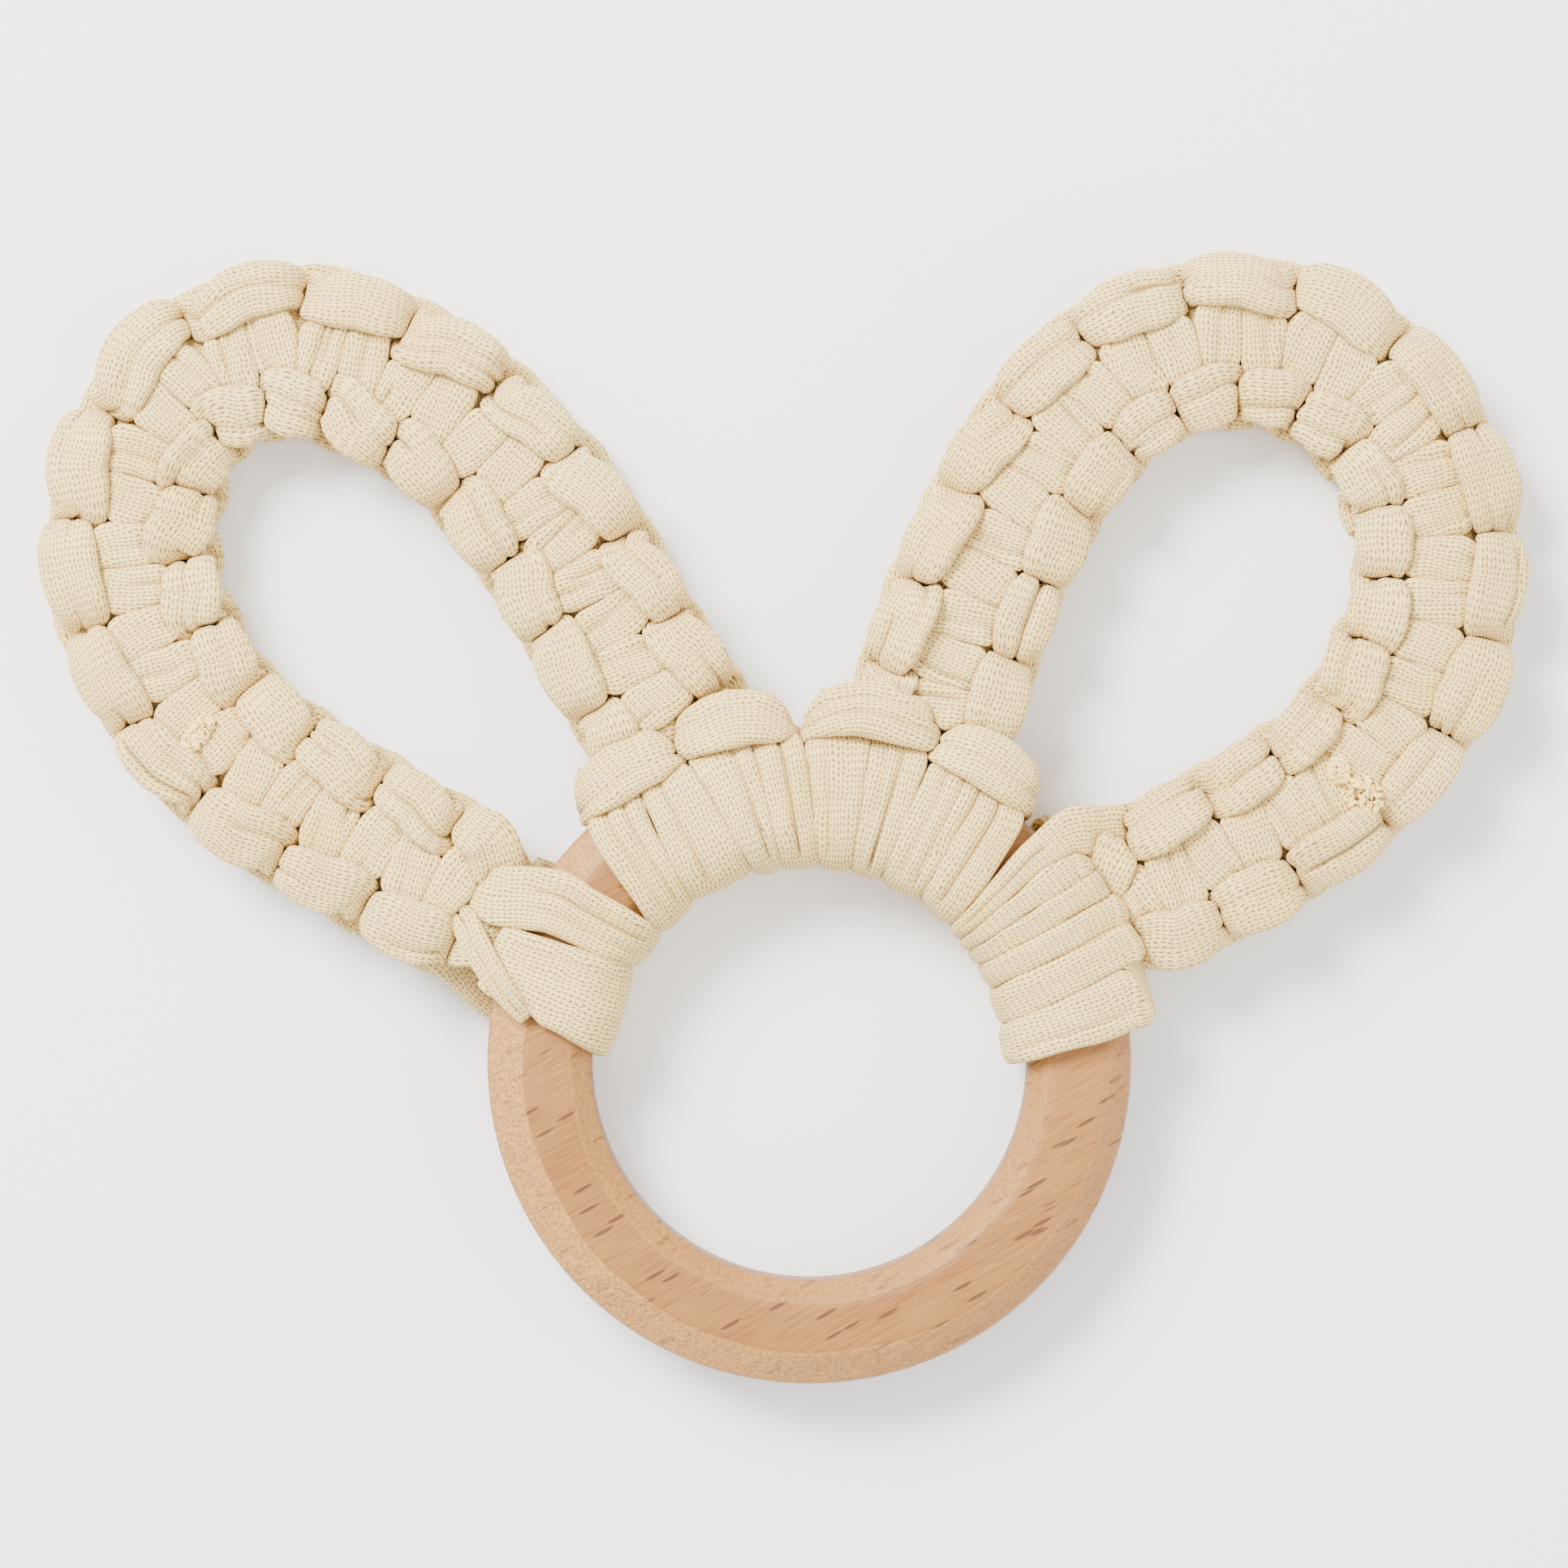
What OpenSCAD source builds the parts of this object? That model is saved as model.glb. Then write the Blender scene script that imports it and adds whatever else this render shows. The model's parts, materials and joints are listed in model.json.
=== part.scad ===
// Teething ring: a wooden ring with two ear-shaped loops of square-knotted yarn.
// Origin: centre of the wooden ring on its mid-plane. +Z is the ring's axis, +Y points up between the ears.
// Millimetres.

/* [Wooden ring] */
// Outer diameter of the wooden ring
ring_d = 70; // [68:0.5:72]
// Width of the wooden bar, from the hole to the rim
bar_w = 11.3; // [10:0.1:12]
// Thickness of the wooden bar
bar_t = 10; // [9:0.5:11]
// Width of the sanded bevel round the rim, seen from above
rim_bevel = 3; // [2:0.5:4]
// Width of the sanded bevel round the hole, seen from above
hole_bevel = 2.5; // [1.5:0.5:3.5]
// Depth of both bevels along the ring's axis
bevel_depth = 2.2; // [1:0.2:3]

/* [Yarn on the ring] */
// Thickness of the yarn over the two faces of the bar
wrap_face = 1.9; // [1.5:0.1:2.5]
// Thickness of the yarn in the ring's hole
wrap_hole = 2.7; // [2:0.1:3]
// Thickness of the yarn round the rim
wrap_rim = 1.6; // [1.2:0.1:2]
// Room between the wood and the yarn, so that the wraps can be pushed round the ring
slide_gap = 0.25; // [0.2:0.05:0.3]
// Thickness of the folded end of yarn that lies across each hitch
bight_d = 4.8; // [4:0.2:5]

/* [Ears] */
// Width of the knotted strip
strip_w = 19; // [18:0.5:20]
// Thickness of the knotted strip
strip_t = 9.4; // [9:0.2:10]
// Number of square knots along each ear
knots = 14; // [13:1:14]
// Diameter of a filler cord, which the knots are tied round
filler_d = 4.6; // [4:0.1:4.8]
// Angle that each ear hangs down from the line across its foot
droop = 2.3; // [0:0.1:2.5]
// Distance from the ring's centre to the line that each ear bends about
flex_r = 44; // [43.5:0.5:44.5]

/* [Hidden] */

wood = "burlywood";
yarn = "antiquewhite";

rim_r = ring_d / 2;
hole_r = rim_r - bar_w;
half_t = bar_t / 2;
wrap_r = rim_r + slide_gap + wrap_rim;

// An ear is [side, start, route, first knot, knot length, direction of its axis].
// side is 1 where the strip turns left as it leaves the ring, and -1 where it turns right.
// start is the middle of the strip at the hitches: x, y and heading.
// route is a chain of arcs, each [length, turn to the left in degrees].
left_ear = [
    1, [-12.6, 32.8, 125],
    [[19, -7], [23.5, 17], [19, 30], [22, 77], [22, 50], [25, 36], [27, 8]],
    10, 9.9, 135
];
right_ear = [
    -1, [12, 32.9, 74],
    [[19, -4], [23, -21], [18, -44], [25, -68], [24, -49], [25, -40], [21, 0]],
    13.5, 9.65, 50
];

// Angles round the ring that each wrap of yarn covers
left_near_span = [90.6, 110.2];
left_far_span = [110.8, 131];
left_end_near_span = [141, 156];
left_end_far_span = [156.6, 175];
right_near_span = [71.8, 89.4];
right_far_span = [49.4, 71.2];
right_end_near_span = [36, 48.8];
right_end_far_span = [4, 35.4];
strand_gap = 0.6;

// How a knotting cord runs: the angle about the fillers swings by edge_swing either side of the far face,
// and its progress along the strip is drawn out where it lies on an edge.
edge_swing = 140;
edge_reach = 0.21;
bump_sharpness = 0.8;
rings_per_knot = 12;
cord_sides = 6;

// Half widths of a knotting cord where it lies in a bump, in a bar and where it turns over an edge
bump_half_w = 2.9;
bar_half_w = 2.0;
edge_half_w = 1.0;
face_half_t = 0.6;
edge_half_t = 1.7;

// Ends of the cords at the line that an ear bends about
knuckle_r = filler_d / 2 + 0.3;
filler_start = knuckle_r + 0.4;
cord_start = 3.4;
tail_start = 2.8;

// ---- Geometry of the ears ----

// Pose [x, y, heading] at distance d along an arc that has turned by a degrees there
function walk(p, d, a) =
    abs(a) < 0.001
        ? [p[0] + d * cos(p[2]), p[1] + d * sin(p[2]), p[2]]
        : let (r = d / (a * PI / 180), h = p[2] + a)
          [p[0] + r * (sin(h) - sin(p[2])), p[1] + r * (cos(p[2]) - cos(h)), h];

// Pose at distance s along a route of arcs that starts at pose p
function along(p, route, s, i = 0) =
    let (arc = route[i])
    s <= arc[0] || i == len(route) - 1
        ? walk(p, s, arc[1] * s / arc[0])
        : along(walk(p, arc[0], arc[1]), route, s - arc[0], i + 1);

function pose(ear, s) = along(ear[1], ear[2], s);
function outward(ear, p) = ear[0] * [sin(p[2]), -cos(p[2]), 0];
function total(route, i = 0) = i == len(route) ? 0 : route[i][0] + total(route, i + 1);
function axis_of(ear) = [cos(ear[5]), sin(ear[5]), 0];

// How far point p lies beyond the line that the ear bends about
function beyond(ear, p) = p[0] * cos(ear[5]) + p[1] * sin(ear[5]) - flex_r;

// Distance along the strip between lo, on the ring's side of that line, and hi, where it crosses the line
function crossing(ear, lo, hi, n = 24) =
    let (mid = (lo + hi) / 2)
    n == 0 ? mid
        : beyond(ear, pose(ear, mid)) < 0 ? crossing(ear, mid, hi, n - 1)
        : crossing(ear, lo, mid, n - 1);

function foot_s(ear) = crossing(ear, 0, 30);
function end_s(ear) = crossing(ear, total(ear[2]), total(ear[2]) - 30);

function signed_power(x, n) = sign(x) * pow(abs(x), n);
function mix(a, b, t) = a + (b - a) * t;

// A knotting cord after u knots. face is 1 for the cord whose bumps show on the front, -1 for the other.
function swing(face, u) = face * (edge_swing * face * cos(360 * u) - 90);
function cord_centre(ear, face, u) =
    let (
        a = swing(face, u),
        s = ear[3] + ear[4] * (u + edge_reach * sin(720 * u)),
        p = pose(ear, s),
        layer = (1 + face * sin(a)) / 2,
        half_w = strip_w / 2 - edge_half_t,
        half_z = mix(filler_d / 2 + face_half_t, strip_t / 2 - face_half_t, layer),
        w = half_w * signed_power(cos(a), bump_sharpness),
        z = half_z * signed_power(sin(a), bump_sharpness)
    )
    [p[0], p[1], 0] + w * outward(ear, p) + [0, 0, z];

function cord_half_w(face, u) =
    let (q = face * sin(swing(face, u)))
    q > 0
        ? mix(edge_half_w, bump_half_w, min(1, q / sin(edge_swing - 90)))
        : mix(edge_half_w, bar_half_w, -q);
function cord_half_t(face, u) = mix(face_half_t, edge_half_t, pow(cos(swing(face, u)), 2));

function unit(v) = v / norm(v);

// One ring of points round a cord's centre, flat side facing away from the fillers
function cord_ring(ear, face, u) =
    let (
        step = 0.02,
        c = cord_centre(ear, face, u),
        t = unit(cord_centre(ear, face, u + step) - cord_centre(ear, face, u - step)),
        a = swing(face, u),
        p = pose(ear, ear[3] + ear[4] * (u + edge_reach * sin(720 * u))),
        out = cos(a) * strip_t / strip_w * outward(ear, p) + [0, 0, sin(a)],
        n = unit(out - (out * t) * t),
        b = cross(t, n)
    )
    [for (i = [0:cord_sides - 1])
        let (q = 360 * i / cord_sides)
        c + cord_half_w(face, u) * cos(q) * b + cord_half_t(face, u) * sin(q) * n];

// First or last twelfth of a knot at which a cord and all that follows lie clear of the bending line
function clear_of_flex(ear, face, i, dir) =
    beyond(ear, cord_centre(ear, face, i / rings_per_knot)) > cord_start
    && beyond(ear, cord_centre(ear, face, (i + dir) / rings_per_knot)) > cord_start
    && beyond(ear, cord_centre(ear, face, (i + 3 * dir) / rings_per_knot)) > cord_start
        ? i
        : clear_of_flex(ear, face, i + dir, dir);

// Closed tube through rings of points
module tube(rings, sides) {
    last = len(rings) - 1;
    points = [for (ring = rings) for (p = ring) p];
    walls = [for (i = [0:last - 1]) for (j = [0:sides - 1])
        let (k = (j + 1) % sides, a = i * sides, b = (i + 1) * sides)
        each [[a + j, a + k, b + j], [a + k, b + k, b + j]]];
    near_cap = [for (j = [sides - 1:-1:0]) j];
    far_cap = [for (j = [0:sides - 1]) last * sides + j];
    polyhedron(points, concat(walls, [near_cap, far_cap]), convexity = 20);
}

// Turns what follows about an ear's bending line, so that the ear hangs down
module hang(ear) {
    foot = flex_r * axis_of(ear);
    translate(foot) rotate(a = droop, v = cross([0, 0, 1], axis_of(ear))) translate(-foot) children();
}

// ---- Wooden ring ----

function bar_profile(grow) = [
    [hole_r - grow, -half_t + bevel_depth], [hole_r + hole_bevel, -half_t - grow],
    [rim_r - rim_bevel, -half_t - grow], [rim_r + grow, -half_t + bevel_depth],
    [rim_r + grow, half_t - bevel_depth], [rim_r - rim_bevel, half_t + grow],
    [hole_r + hole_bevel, half_t + grow], [hole_r - grow, half_t - bevel_depth]
];

module wooden_ring() {
    color(wood) rotate_extrude($fn = 96) polygon(bar_profile(0));
}

// ---- Yarn on the ring ----

function wrap_profile() =
    let (
        top = half_t + slide_gap + wrap_face,
        inner = hole_r - slide_gap - wrap_hole,
        shoulder = half_t - bevel_depth + 1
    )
    [
        [inner, -shoulder], [hole_r + 0.6, -top], [rim_r - 1.2, -top], [wrap_r, -shoulder],
        [wrap_r, shoulder], [rim_r - 1.2, top], [hole_r + 0.6, top], [inner, shoulder]
    ];

function octagon(r) = [for (i = [0:7]) r * [cos(45 * i), sin(45 * i)]];

// Yarn wrapped round the bar between two angles
module wrap(span) {
    difference() {
        rotate([0, 0, span[0]]) rotate_extrude(angle = span[1] - span[0], $fn = 96) polygon(wrap_profile());
        rotate_extrude($fn = 96) polygon(bar_profile(slide_gap));
    }
}

// Lark's head hitch: two turns of yarn with the folded end lying across them at the rim
module hitch(span) {
    middle = (span[0] + span[1]) / 2;
    color(yarn) union() {
        wrap([span[0], middle - strand_gap / 2]);
        wrap([middle + strand_gap / 2, span[1]]);
        rotate([0, 0, span[0] + 1]) rotate_extrude(angle = span[1] - span[0] - 2, $fn = 96)
            translate([rim_r + 0.6, half_t + 0.6]) polygon(octagon(bight_d / 2));
    }
}

module end_wrap(span) {
    color(yarn) wrap(span);
}

// Straight lengths of the four cords between the ring and the bending line
module tails(ear, s, way) {
    p = pose(ear, s);
    pitch = filler_d - 0.1;
    color(yarn) difference() {
        translate([p[0], p[1], 0]) rotate([0, 0, p[2] + 90 * (1 - way)]) for (i = [-1.5:1:1.5])
            translate([0, i * pitch, 0]) rotate([0, -90, 0])
                translate([0, 0, -8]) linear_extrude(30) polygon(octagon(filler_d / 2));
        translate([0, 0, -10]) cylinder(h = 20, r = wrap_r - 0.5, $fn = 96);
        bend_cut(ear, p, 1.02 * pitch);
    }
}

// What is cut away at the bending line: all beyond a rounded end on the fillers, and more on the outer cords
module bend_cut(ear, p, half_w) {
    deep = 40;
    rotate([0, 0, ear[5]]) difference() {
        translate([flex_r, -deep, -deep / 2]) cube([deep, 2 * deep, deep]);
        translate([flex_r, 0, 0]) rotate([90, 0, 0]) cylinder(h = 3 * deep, r = knuckle_r, center = true, $fn = 48);
    }
    rotate([0, 0, ear[5]]) for (side = [-1, 1])
        translate([flex_r - tail_start, beside(ear, p) + side * half_w - (side < 0 ? deep : 0), -deep / 2])
            cube([deep, deep, deep]);
}

// How far point p lies to the left of the ear's axis
function beside(ear, p) = p[1] * cos(ear[5]) - p[0] * sin(ear[5]);

// ---- Knotted strip ----

// Point at distance s along the strip and offset w from its middle
function beside_strip(ear, s, w) =
    let (p = pose(ear, s))
    [p[0], p[1], 0] + w * outward(ear, p) * ear[0];

// First place, in steps from s, where both sides of a filler's squared end lie clear of the bending line
function clear_filler(ear, w, s, step) =
    beyond(ear, beside_strip(ear, s, w - filler_d / 2)) > filler_start
    && beyond(ear, beside_strip(ear, s, w + filler_d / 2)) > filler_start
        ? s
        : clear_filler(ear, w, s + step, step);

// Filler cord at offset w from the middle of the strip
module filler(ear, w) {
    from = clear_filler(ear, w, foot_s(ear), 0.1);
    to = clear_filler(ear, w, end_s(ear), -0.1);
    count = 40;
    rings = [for (i = [0:count])
        let (p = pose(ear, mix(from, to, i / count)))
        [for (j = [0:7])
            let (q = 45 * j)
            [p[0], p[1], 0] + (w + filler_d / 2 * cos(q)) * outward(ear, p) * ear[0]
                + [0, 0, -filler_d / 2 * sin(q)]]];
    color(yarn) hang(ear) tube(rings, 8);
}

module knotting_cord(ear, face) {
    first = clear_of_flex(ear, face, 0, 1);
    last = clear_of_flex(ear, face, rings_per_knot * (knots + 1), -1);
    color(yarn) hang(ear)
        tube([for (i = [first:last]) cord_ring(ear, face, i / rings_per_knot)], cord_sides);
}

// Trimmed and glued ends of yarn on the front of the strip, each [s, w, diameter]
module cut_ends(ear, ends) {
    color(yarn) hang(ear) for (end = ends) {
        p = pose(ear, end[0]);
        translate([p[0], p[1], strip_t / 2 - 1.4] + end[1] * outward(ear, p))
            cylinder(h = 2.8, d1 = end[2], d2 = end[2] - 1, $fn = 32);
    }
}

// ---- Sub-parts ----

module left_hitch_near() { hitch(left_near_span); }
module left_hitch_far() { hitch(left_far_span); }
module left_hitch_tails() { tails(left_ear, foot_s(left_ear), 1); }
module left_end_wrap_near() { end_wrap(left_end_near_span); }
module left_end_wrap_far() { end_wrap(left_end_far_span); }
module left_end_tails() { tails(left_ear, end_s(left_ear), -1); }
module left_filler_outer() { filler(left_ear, filler_d / 2 + 0.05); }
module left_filler_inner() { filler(left_ear, -filler_d / 2 - 0.05); }
module left_front_cord() { knotting_cord(left_ear, -1); }
module left_back_cord() { knotting_cord(left_ear, 1); }
module left_cut_end() { cut_ends(left_ear, [[119, 1, 4.5]]); }

module right_hitch_near() { hitch(right_near_span); }
module right_hitch_far() { hitch(right_far_span); }
module right_hitch_tails() { tails(right_ear, foot_s(right_ear), 1); }
module right_end_wrap_near() { end_wrap(right_end_near_span); }
module right_end_wrap_far() { end_wrap(right_end_far_span); }
module right_end_tails() { tails(right_ear, end_s(right_ear), -1); }
module right_filler_outer() { filler(right_ear, filler_d / 2 + 0.05); }
module right_filler_inner() { filler(right_ear, -filler_d / 2 - 0.05); }
module right_front_cord() { knotting_cord(right_ear, -1); }
module right_back_cord() { knotting_cord(right_ear, 1); }
module right_cut_end() { cut_ends(right_ear, [[124.8, -0.9, 3.4], [124.8, 3, 5]]); }

wooden_ring();
left_hitch_near();
left_hitch_far();
left_hitch_tails();
left_end_wrap_near();
left_end_wrap_far();
left_end_tails();
left_filler_outer();
left_filler_inner();
left_front_cord();
left_back_cord();
left_cut_end();
right_hitch_near();
right_hitch_far();
right_hitch_tails();
right_end_wrap_near();
right_end_wrap_far();
right_end_tails();
right_filler_outer();
right_filler_inner();
right_front_cord();
right_back_cord();
right_cut_end();
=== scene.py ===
"""Teething ring: a hand-sanded beech ring with two ears of square-knotted cotton yarn.

Lengths are in millimetres and angles in degrees until a mesh is made. The origin is the ring's centre.
"""

import json
import math

import bpy
import numpy as np
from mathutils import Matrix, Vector, noise
from mathutils.bvhtree import BVHTree


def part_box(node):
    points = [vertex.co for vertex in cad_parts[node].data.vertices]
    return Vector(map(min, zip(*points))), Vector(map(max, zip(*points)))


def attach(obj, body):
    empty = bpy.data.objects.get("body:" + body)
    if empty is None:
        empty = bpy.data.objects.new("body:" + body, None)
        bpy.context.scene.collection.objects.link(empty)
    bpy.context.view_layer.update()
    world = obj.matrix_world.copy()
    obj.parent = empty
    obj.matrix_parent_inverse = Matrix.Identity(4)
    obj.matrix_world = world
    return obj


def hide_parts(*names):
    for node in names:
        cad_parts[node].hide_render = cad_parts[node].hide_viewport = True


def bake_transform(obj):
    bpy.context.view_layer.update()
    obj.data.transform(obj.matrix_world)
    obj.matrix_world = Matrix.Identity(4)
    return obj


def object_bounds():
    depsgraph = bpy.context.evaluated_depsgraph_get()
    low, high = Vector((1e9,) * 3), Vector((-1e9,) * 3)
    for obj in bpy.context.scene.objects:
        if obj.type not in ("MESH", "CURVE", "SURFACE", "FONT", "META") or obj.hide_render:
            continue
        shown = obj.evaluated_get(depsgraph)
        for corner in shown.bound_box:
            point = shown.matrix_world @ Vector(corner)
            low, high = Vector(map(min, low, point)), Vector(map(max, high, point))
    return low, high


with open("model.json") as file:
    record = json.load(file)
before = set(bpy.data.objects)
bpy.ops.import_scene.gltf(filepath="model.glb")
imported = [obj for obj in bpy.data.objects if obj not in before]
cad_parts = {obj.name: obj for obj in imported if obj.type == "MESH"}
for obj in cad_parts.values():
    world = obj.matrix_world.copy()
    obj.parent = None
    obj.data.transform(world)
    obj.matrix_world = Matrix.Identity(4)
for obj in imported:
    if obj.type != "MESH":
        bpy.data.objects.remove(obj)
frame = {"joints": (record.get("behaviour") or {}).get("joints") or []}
cad_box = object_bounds()
MM = 0.001

# ---------------------------------------------------------------- sizes

ring_low, ring_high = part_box("wooden_ring")
RIM_R = (ring_high.x - ring_low.x) / 2 / MM
HALF_T = ring_high.z / MM
BAR_W = 11.3
BAR_R = RIM_R - BAR_W / 2
HOLE_R = RIM_R - BAR_W

# Height of the table under the toy, how far each ear hangs, and half the length over which its foot bends
REST_Z = cad_box[0].z / MM
DROOP = 2.3
BEND_HALF = 6.0

# The middle line of each ear, as in the CAD source: start is x, y and heading, and an arc is (length, turn).
# side is 1 where the ear's outer edge is on the right of that line. first and pitch place the knots: the
# middle of one bump, and the length of a knot. slant is how far a bump leans outwards, in mm per knot along
# the ear.
EARS = {
    "left": {
        "side": 1,
        "start": (-12.6, 32.8, 125.0),
        "route": ((19, -7), (23.5, 17), (19, 30), (22, 77), (22, 50), (25, 36), (27, 8)),
        "first": 10.0,
        "pitch": 9.9,
        "slant": -4.0,
    },
    "right": {
        "side": -1,
        "start": (12.0, 32.9, 74.0),
        "route": ((19, -4), (23, -21), (18, -44), (25, -68), (24, -49), (25, -40), (21, 0)),
        "first": 13.5,
        "pitch": 9.65,
        "slant": -1.5,
    },
}

# ---------------------------------------------------------------- stitches, grain and colours

# YARN_SHADE is painted shade, multiplied into the yarn where its stitches sink. WOOD_LINE is multiplied with
# the colour under it
STITCH_WIDE = 0.90
STITCH_LONG = 0.64
YARN_CLEAN = (0.95, 0.735, 0.29)
YARN_DULL = (0.91, 0.645, 0.23)
YARN_SHADE = (0.62, 0.52, 0.38)
# The next colour is painted shade for the small hole at each stitch
YARN_GAP_SHADE = (0.28, 0.165, 0.055)
# The next colour is painted shade where the yarn is squashed between neighbours or creased
YARN_CREASE_SHADE = (0.40, 0.22, 0.06)
GRAIN_ANGLE = 29
WOOD_PLAIN = (0.32, 0.142, 0.031)
WOOD_DEEP = (0.25, 0.10, 0.020)
WOOD_LINE = (0.72, 0.60, 0.50)
WOOD_FLECK = (0.10, 0.032, 0.010)
WOOD_SANDED = (0.54, 0.28, 0.085)
FLOOR_DARK = (0.90, 0.90, 0.90)
FLOOR_PALE = (0.93, 0.93, 0.93)
BLACK = (0.0, 0.0, 0.0)
WHITE = (1.0, 1.0, 1.0)

# ---------------------------------------------------------------- small helpers


def unit(v):
    return v / np.maximum(np.linalg.norm(v, axis=-1, keepdims=True), 1e-9)


def signed_power(x, n):
    return np.sign(x) * np.abs(x) ** n


def mix(a, b, t):
    return a + (b - a) * t


def smoothstep(x, low, high):
    t = np.clip((x - low) / (high - low), 0, 1)
    return t * t * (3 - 2 * t)


def flattened(z, floor, soft=0.6):
    """Heights squashed flat where they come near the floor or would pass through it."""
    above = z - floor
    return floor + np.where(above > soft, above, soft * np.exp(np.minimum(above / soft, 1) - 1))


def polar(r, angle, z):
    a = np.radians(angle)
    return np.stack([r * np.cos(a), r * np.sin(a), z + 0 * a], -1)


def distances(points):
    """How far each point is along the line through all of them."""
    steps = np.linalg.norm(np.diff(points, axis=0), axis=1)
    return np.concatenate([[0], np.cumsum(steps)])


def spline(keys, per_key):
    """Catmull-Rom curve through rows of numbers."""
    keys = np.asarray(keys, float)
    padded = np.vstack([2 * keys[0] - keys[1], keys, 2 * keys[-1] - keys[-2]])
    t = np.linspace(0, 1, per_key, endpoint=False)[:, None]
    rows = []
    for p0, p1, p2, p3 in zip(padded, padded[1:], padded[2:], padded[3:]):
        rows.append(0.5 * (2 * p1 + (p2 - p0) * t + (2 * p0 - 5 * p1 + 4 * p2 - p3) * t**2
                           + (3 * p1 - p0 - 3 * p2 + p3) * t**3))
    return np.vstack(rows + [keys[-1:]])


def smooth_mesh(name, verts, faces):
    mesh = bpy.data.meshes.new(name)
    mesh.from_pydata(verts, [], faces)
    mesh.shade_smooth()
    mesh.update()
    return mesh


def mark_points(mesh, name, values):
    """Give each point of a mesh a number that its material reads."""
    mesh.attributes.new(name, "FLOAT", "POINT").data.foreach_set("value", np.array(values, np.float32))


def as_object(name, mesh, material):
    piece = bpy.data.objects.new(name, mesh)
    bpy.context.scene.collection.objects.link(piece)
    piece.data.materials.append(material)
    return piece


# ---------------------------------------------------------------- yarn

# The grid of points on a strand: the space between rows, and how many points each row has
SPACING = 0.4
COLUMNS = 48

# How neighbours press a strand: the least it puffs out, how far off they count, how much of its own yarn
# beside a point doesn't count, and the length that is tested against the same neighbours
MIN_PUFF = 0.12
NEAR = 7.0
KEEP_OFF = 3.5
STRETCH = 5.0

# How uneven a strand is, as a share of its puff, and how wide its creases are, as a share of its width
RIPPLE = 0.16
CREASE_WIDTH = 0.08

# Length over which a crease fades at its ends, half the length of one on a folded end, and girth of a cut end
CREASE_FADE = 2.0
FOLD_HALF = 7.0
CAP_GIRTH = 4.0


class Strand:
    """A length of yarn before it is filled out: its middle line, where its flat side faces, and its widths.

    half is half the width of its flat core. up, side and down are how far it may puff out past the core.
    creases are folds along its flat side: (place across from -1 to 1, depth, from, to), the last two in mm.
    """

    def __init__(self, centre, facing, half, up, side, down, creases=()):
        widths = [np.broadcast_to(v, (len(centre),)) for v in (half, up, side, down)]
        values = np.column_stack([centre, facing] + widths)
        along = distances(centre)
        self.along = np.linspace(0, along[-1], max(4, int(along[-1] / SPACING)))
        even = np.column_stack([np.interp(self.along, along, column) for column in values.T])
        self.centre = even[:, :3]
        self.half, self.up, self.side, self.down = even[:, 6:].T
        self.creases = list(creases)
        tangent = unit(np.gradient(self.centre, axis=0))
        out = even[:, 3:6]
        self.facing = unit(out - (out * tangent).sum(1, keepdims=True) * tangent)
        self.across = np.cross(tangent, self.facing)

    def front_runs(self):
        """Stretches of the strand on the front of the wooden bar, as distances along it."""
        front = (self.centre[:, 2] > HALF_T) & (np.linalg.norm(self.centre[:, :2], axis=1) < RIM_R - 1)
        turns = np.flatnonzero(np.diff(np.concatenate([[0], front.astype(int), [0]])))
        return [(self.along[a], self.along[b - 1]) for a, b in zip(turns[::2], turns[1::2])]

    def crease(self, run, place, depth):
        """Crease one of the stretches on the front of the bar, or the middle of the strand if run is -1."""
        middle = self.along[-1] / 2
        low, high = (middle - FOLD_HALF, middle + FOLD_HALF) if run < 0 else self.front_runs()[run]
        self.creases.append((place, depth, low - CREASE_FADE, high + CREASE_FADE))

    def edges(self):
        reach = self.across * self.half[:, None]
        return self.centre - reach, self.centre + reach


# Angles round a strand's section from the middle of its underside, and for each its place across the flat
# core, from -1 to 1, and the way the yarn puffs out from there, across and up
SECTION = np.radians(-90 + 360 * np.arange(COLUMNS) / COLUMNS)
FOOT = np.sign(np.cos(SECTION)) * np.minimum(1, np.abs(np.cos(SECTION)) * 1.3)
LEAN = unit(np.column_stack([signed_power(np.cos(SECTION), 1.6), np.sin(SECTION)]))


def section_lengths():
    """Share of the way round a plain stretch of yarn at each column, for its knit to run evenly."""
    half, puff = 2.0, 1.1
    points = np.column_stack([FOOT * half + LEAN[:, 0] * puff, LEAN[:, 1] * puff])
    lengths = distances(np.vstack([points, points[:1]]))
    return lengths / lengths[-1]


ROUND = section_lengths()


def neighbour_tree(strands, own, low, high):
    """Tree of the flat cores near strand own from low to high along it, without that stretch itself."""
    here = (own.along >= low) & (own.along <= high)
    box_low = own.centre[here].min(0) - NEAR
    box_high = own.centre[here].max(0) + NEAR
    verts, faces = [], []
    for strand in strands:
        near = np.all((strand.centre > box_low) & (strand.centre < box_high), axis=1)
        if strand is own:
            near &= (strand.along < low - KEEP_OFF) | (strand.along > high + KEEP_OFF)
        left, right = strand.edges()
        for i in np.nonzero(near[:-1] & near[1:])[0]:
            n = len(verts)
            verts += [left[i], right[i], right[i + 1], left[i + 1]]
            faces.append((n, n + 1, n + 2, n + 3))
    return BVHTree.FromPolygons([tuple(v) for v in verts], faces) if faces else None


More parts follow.
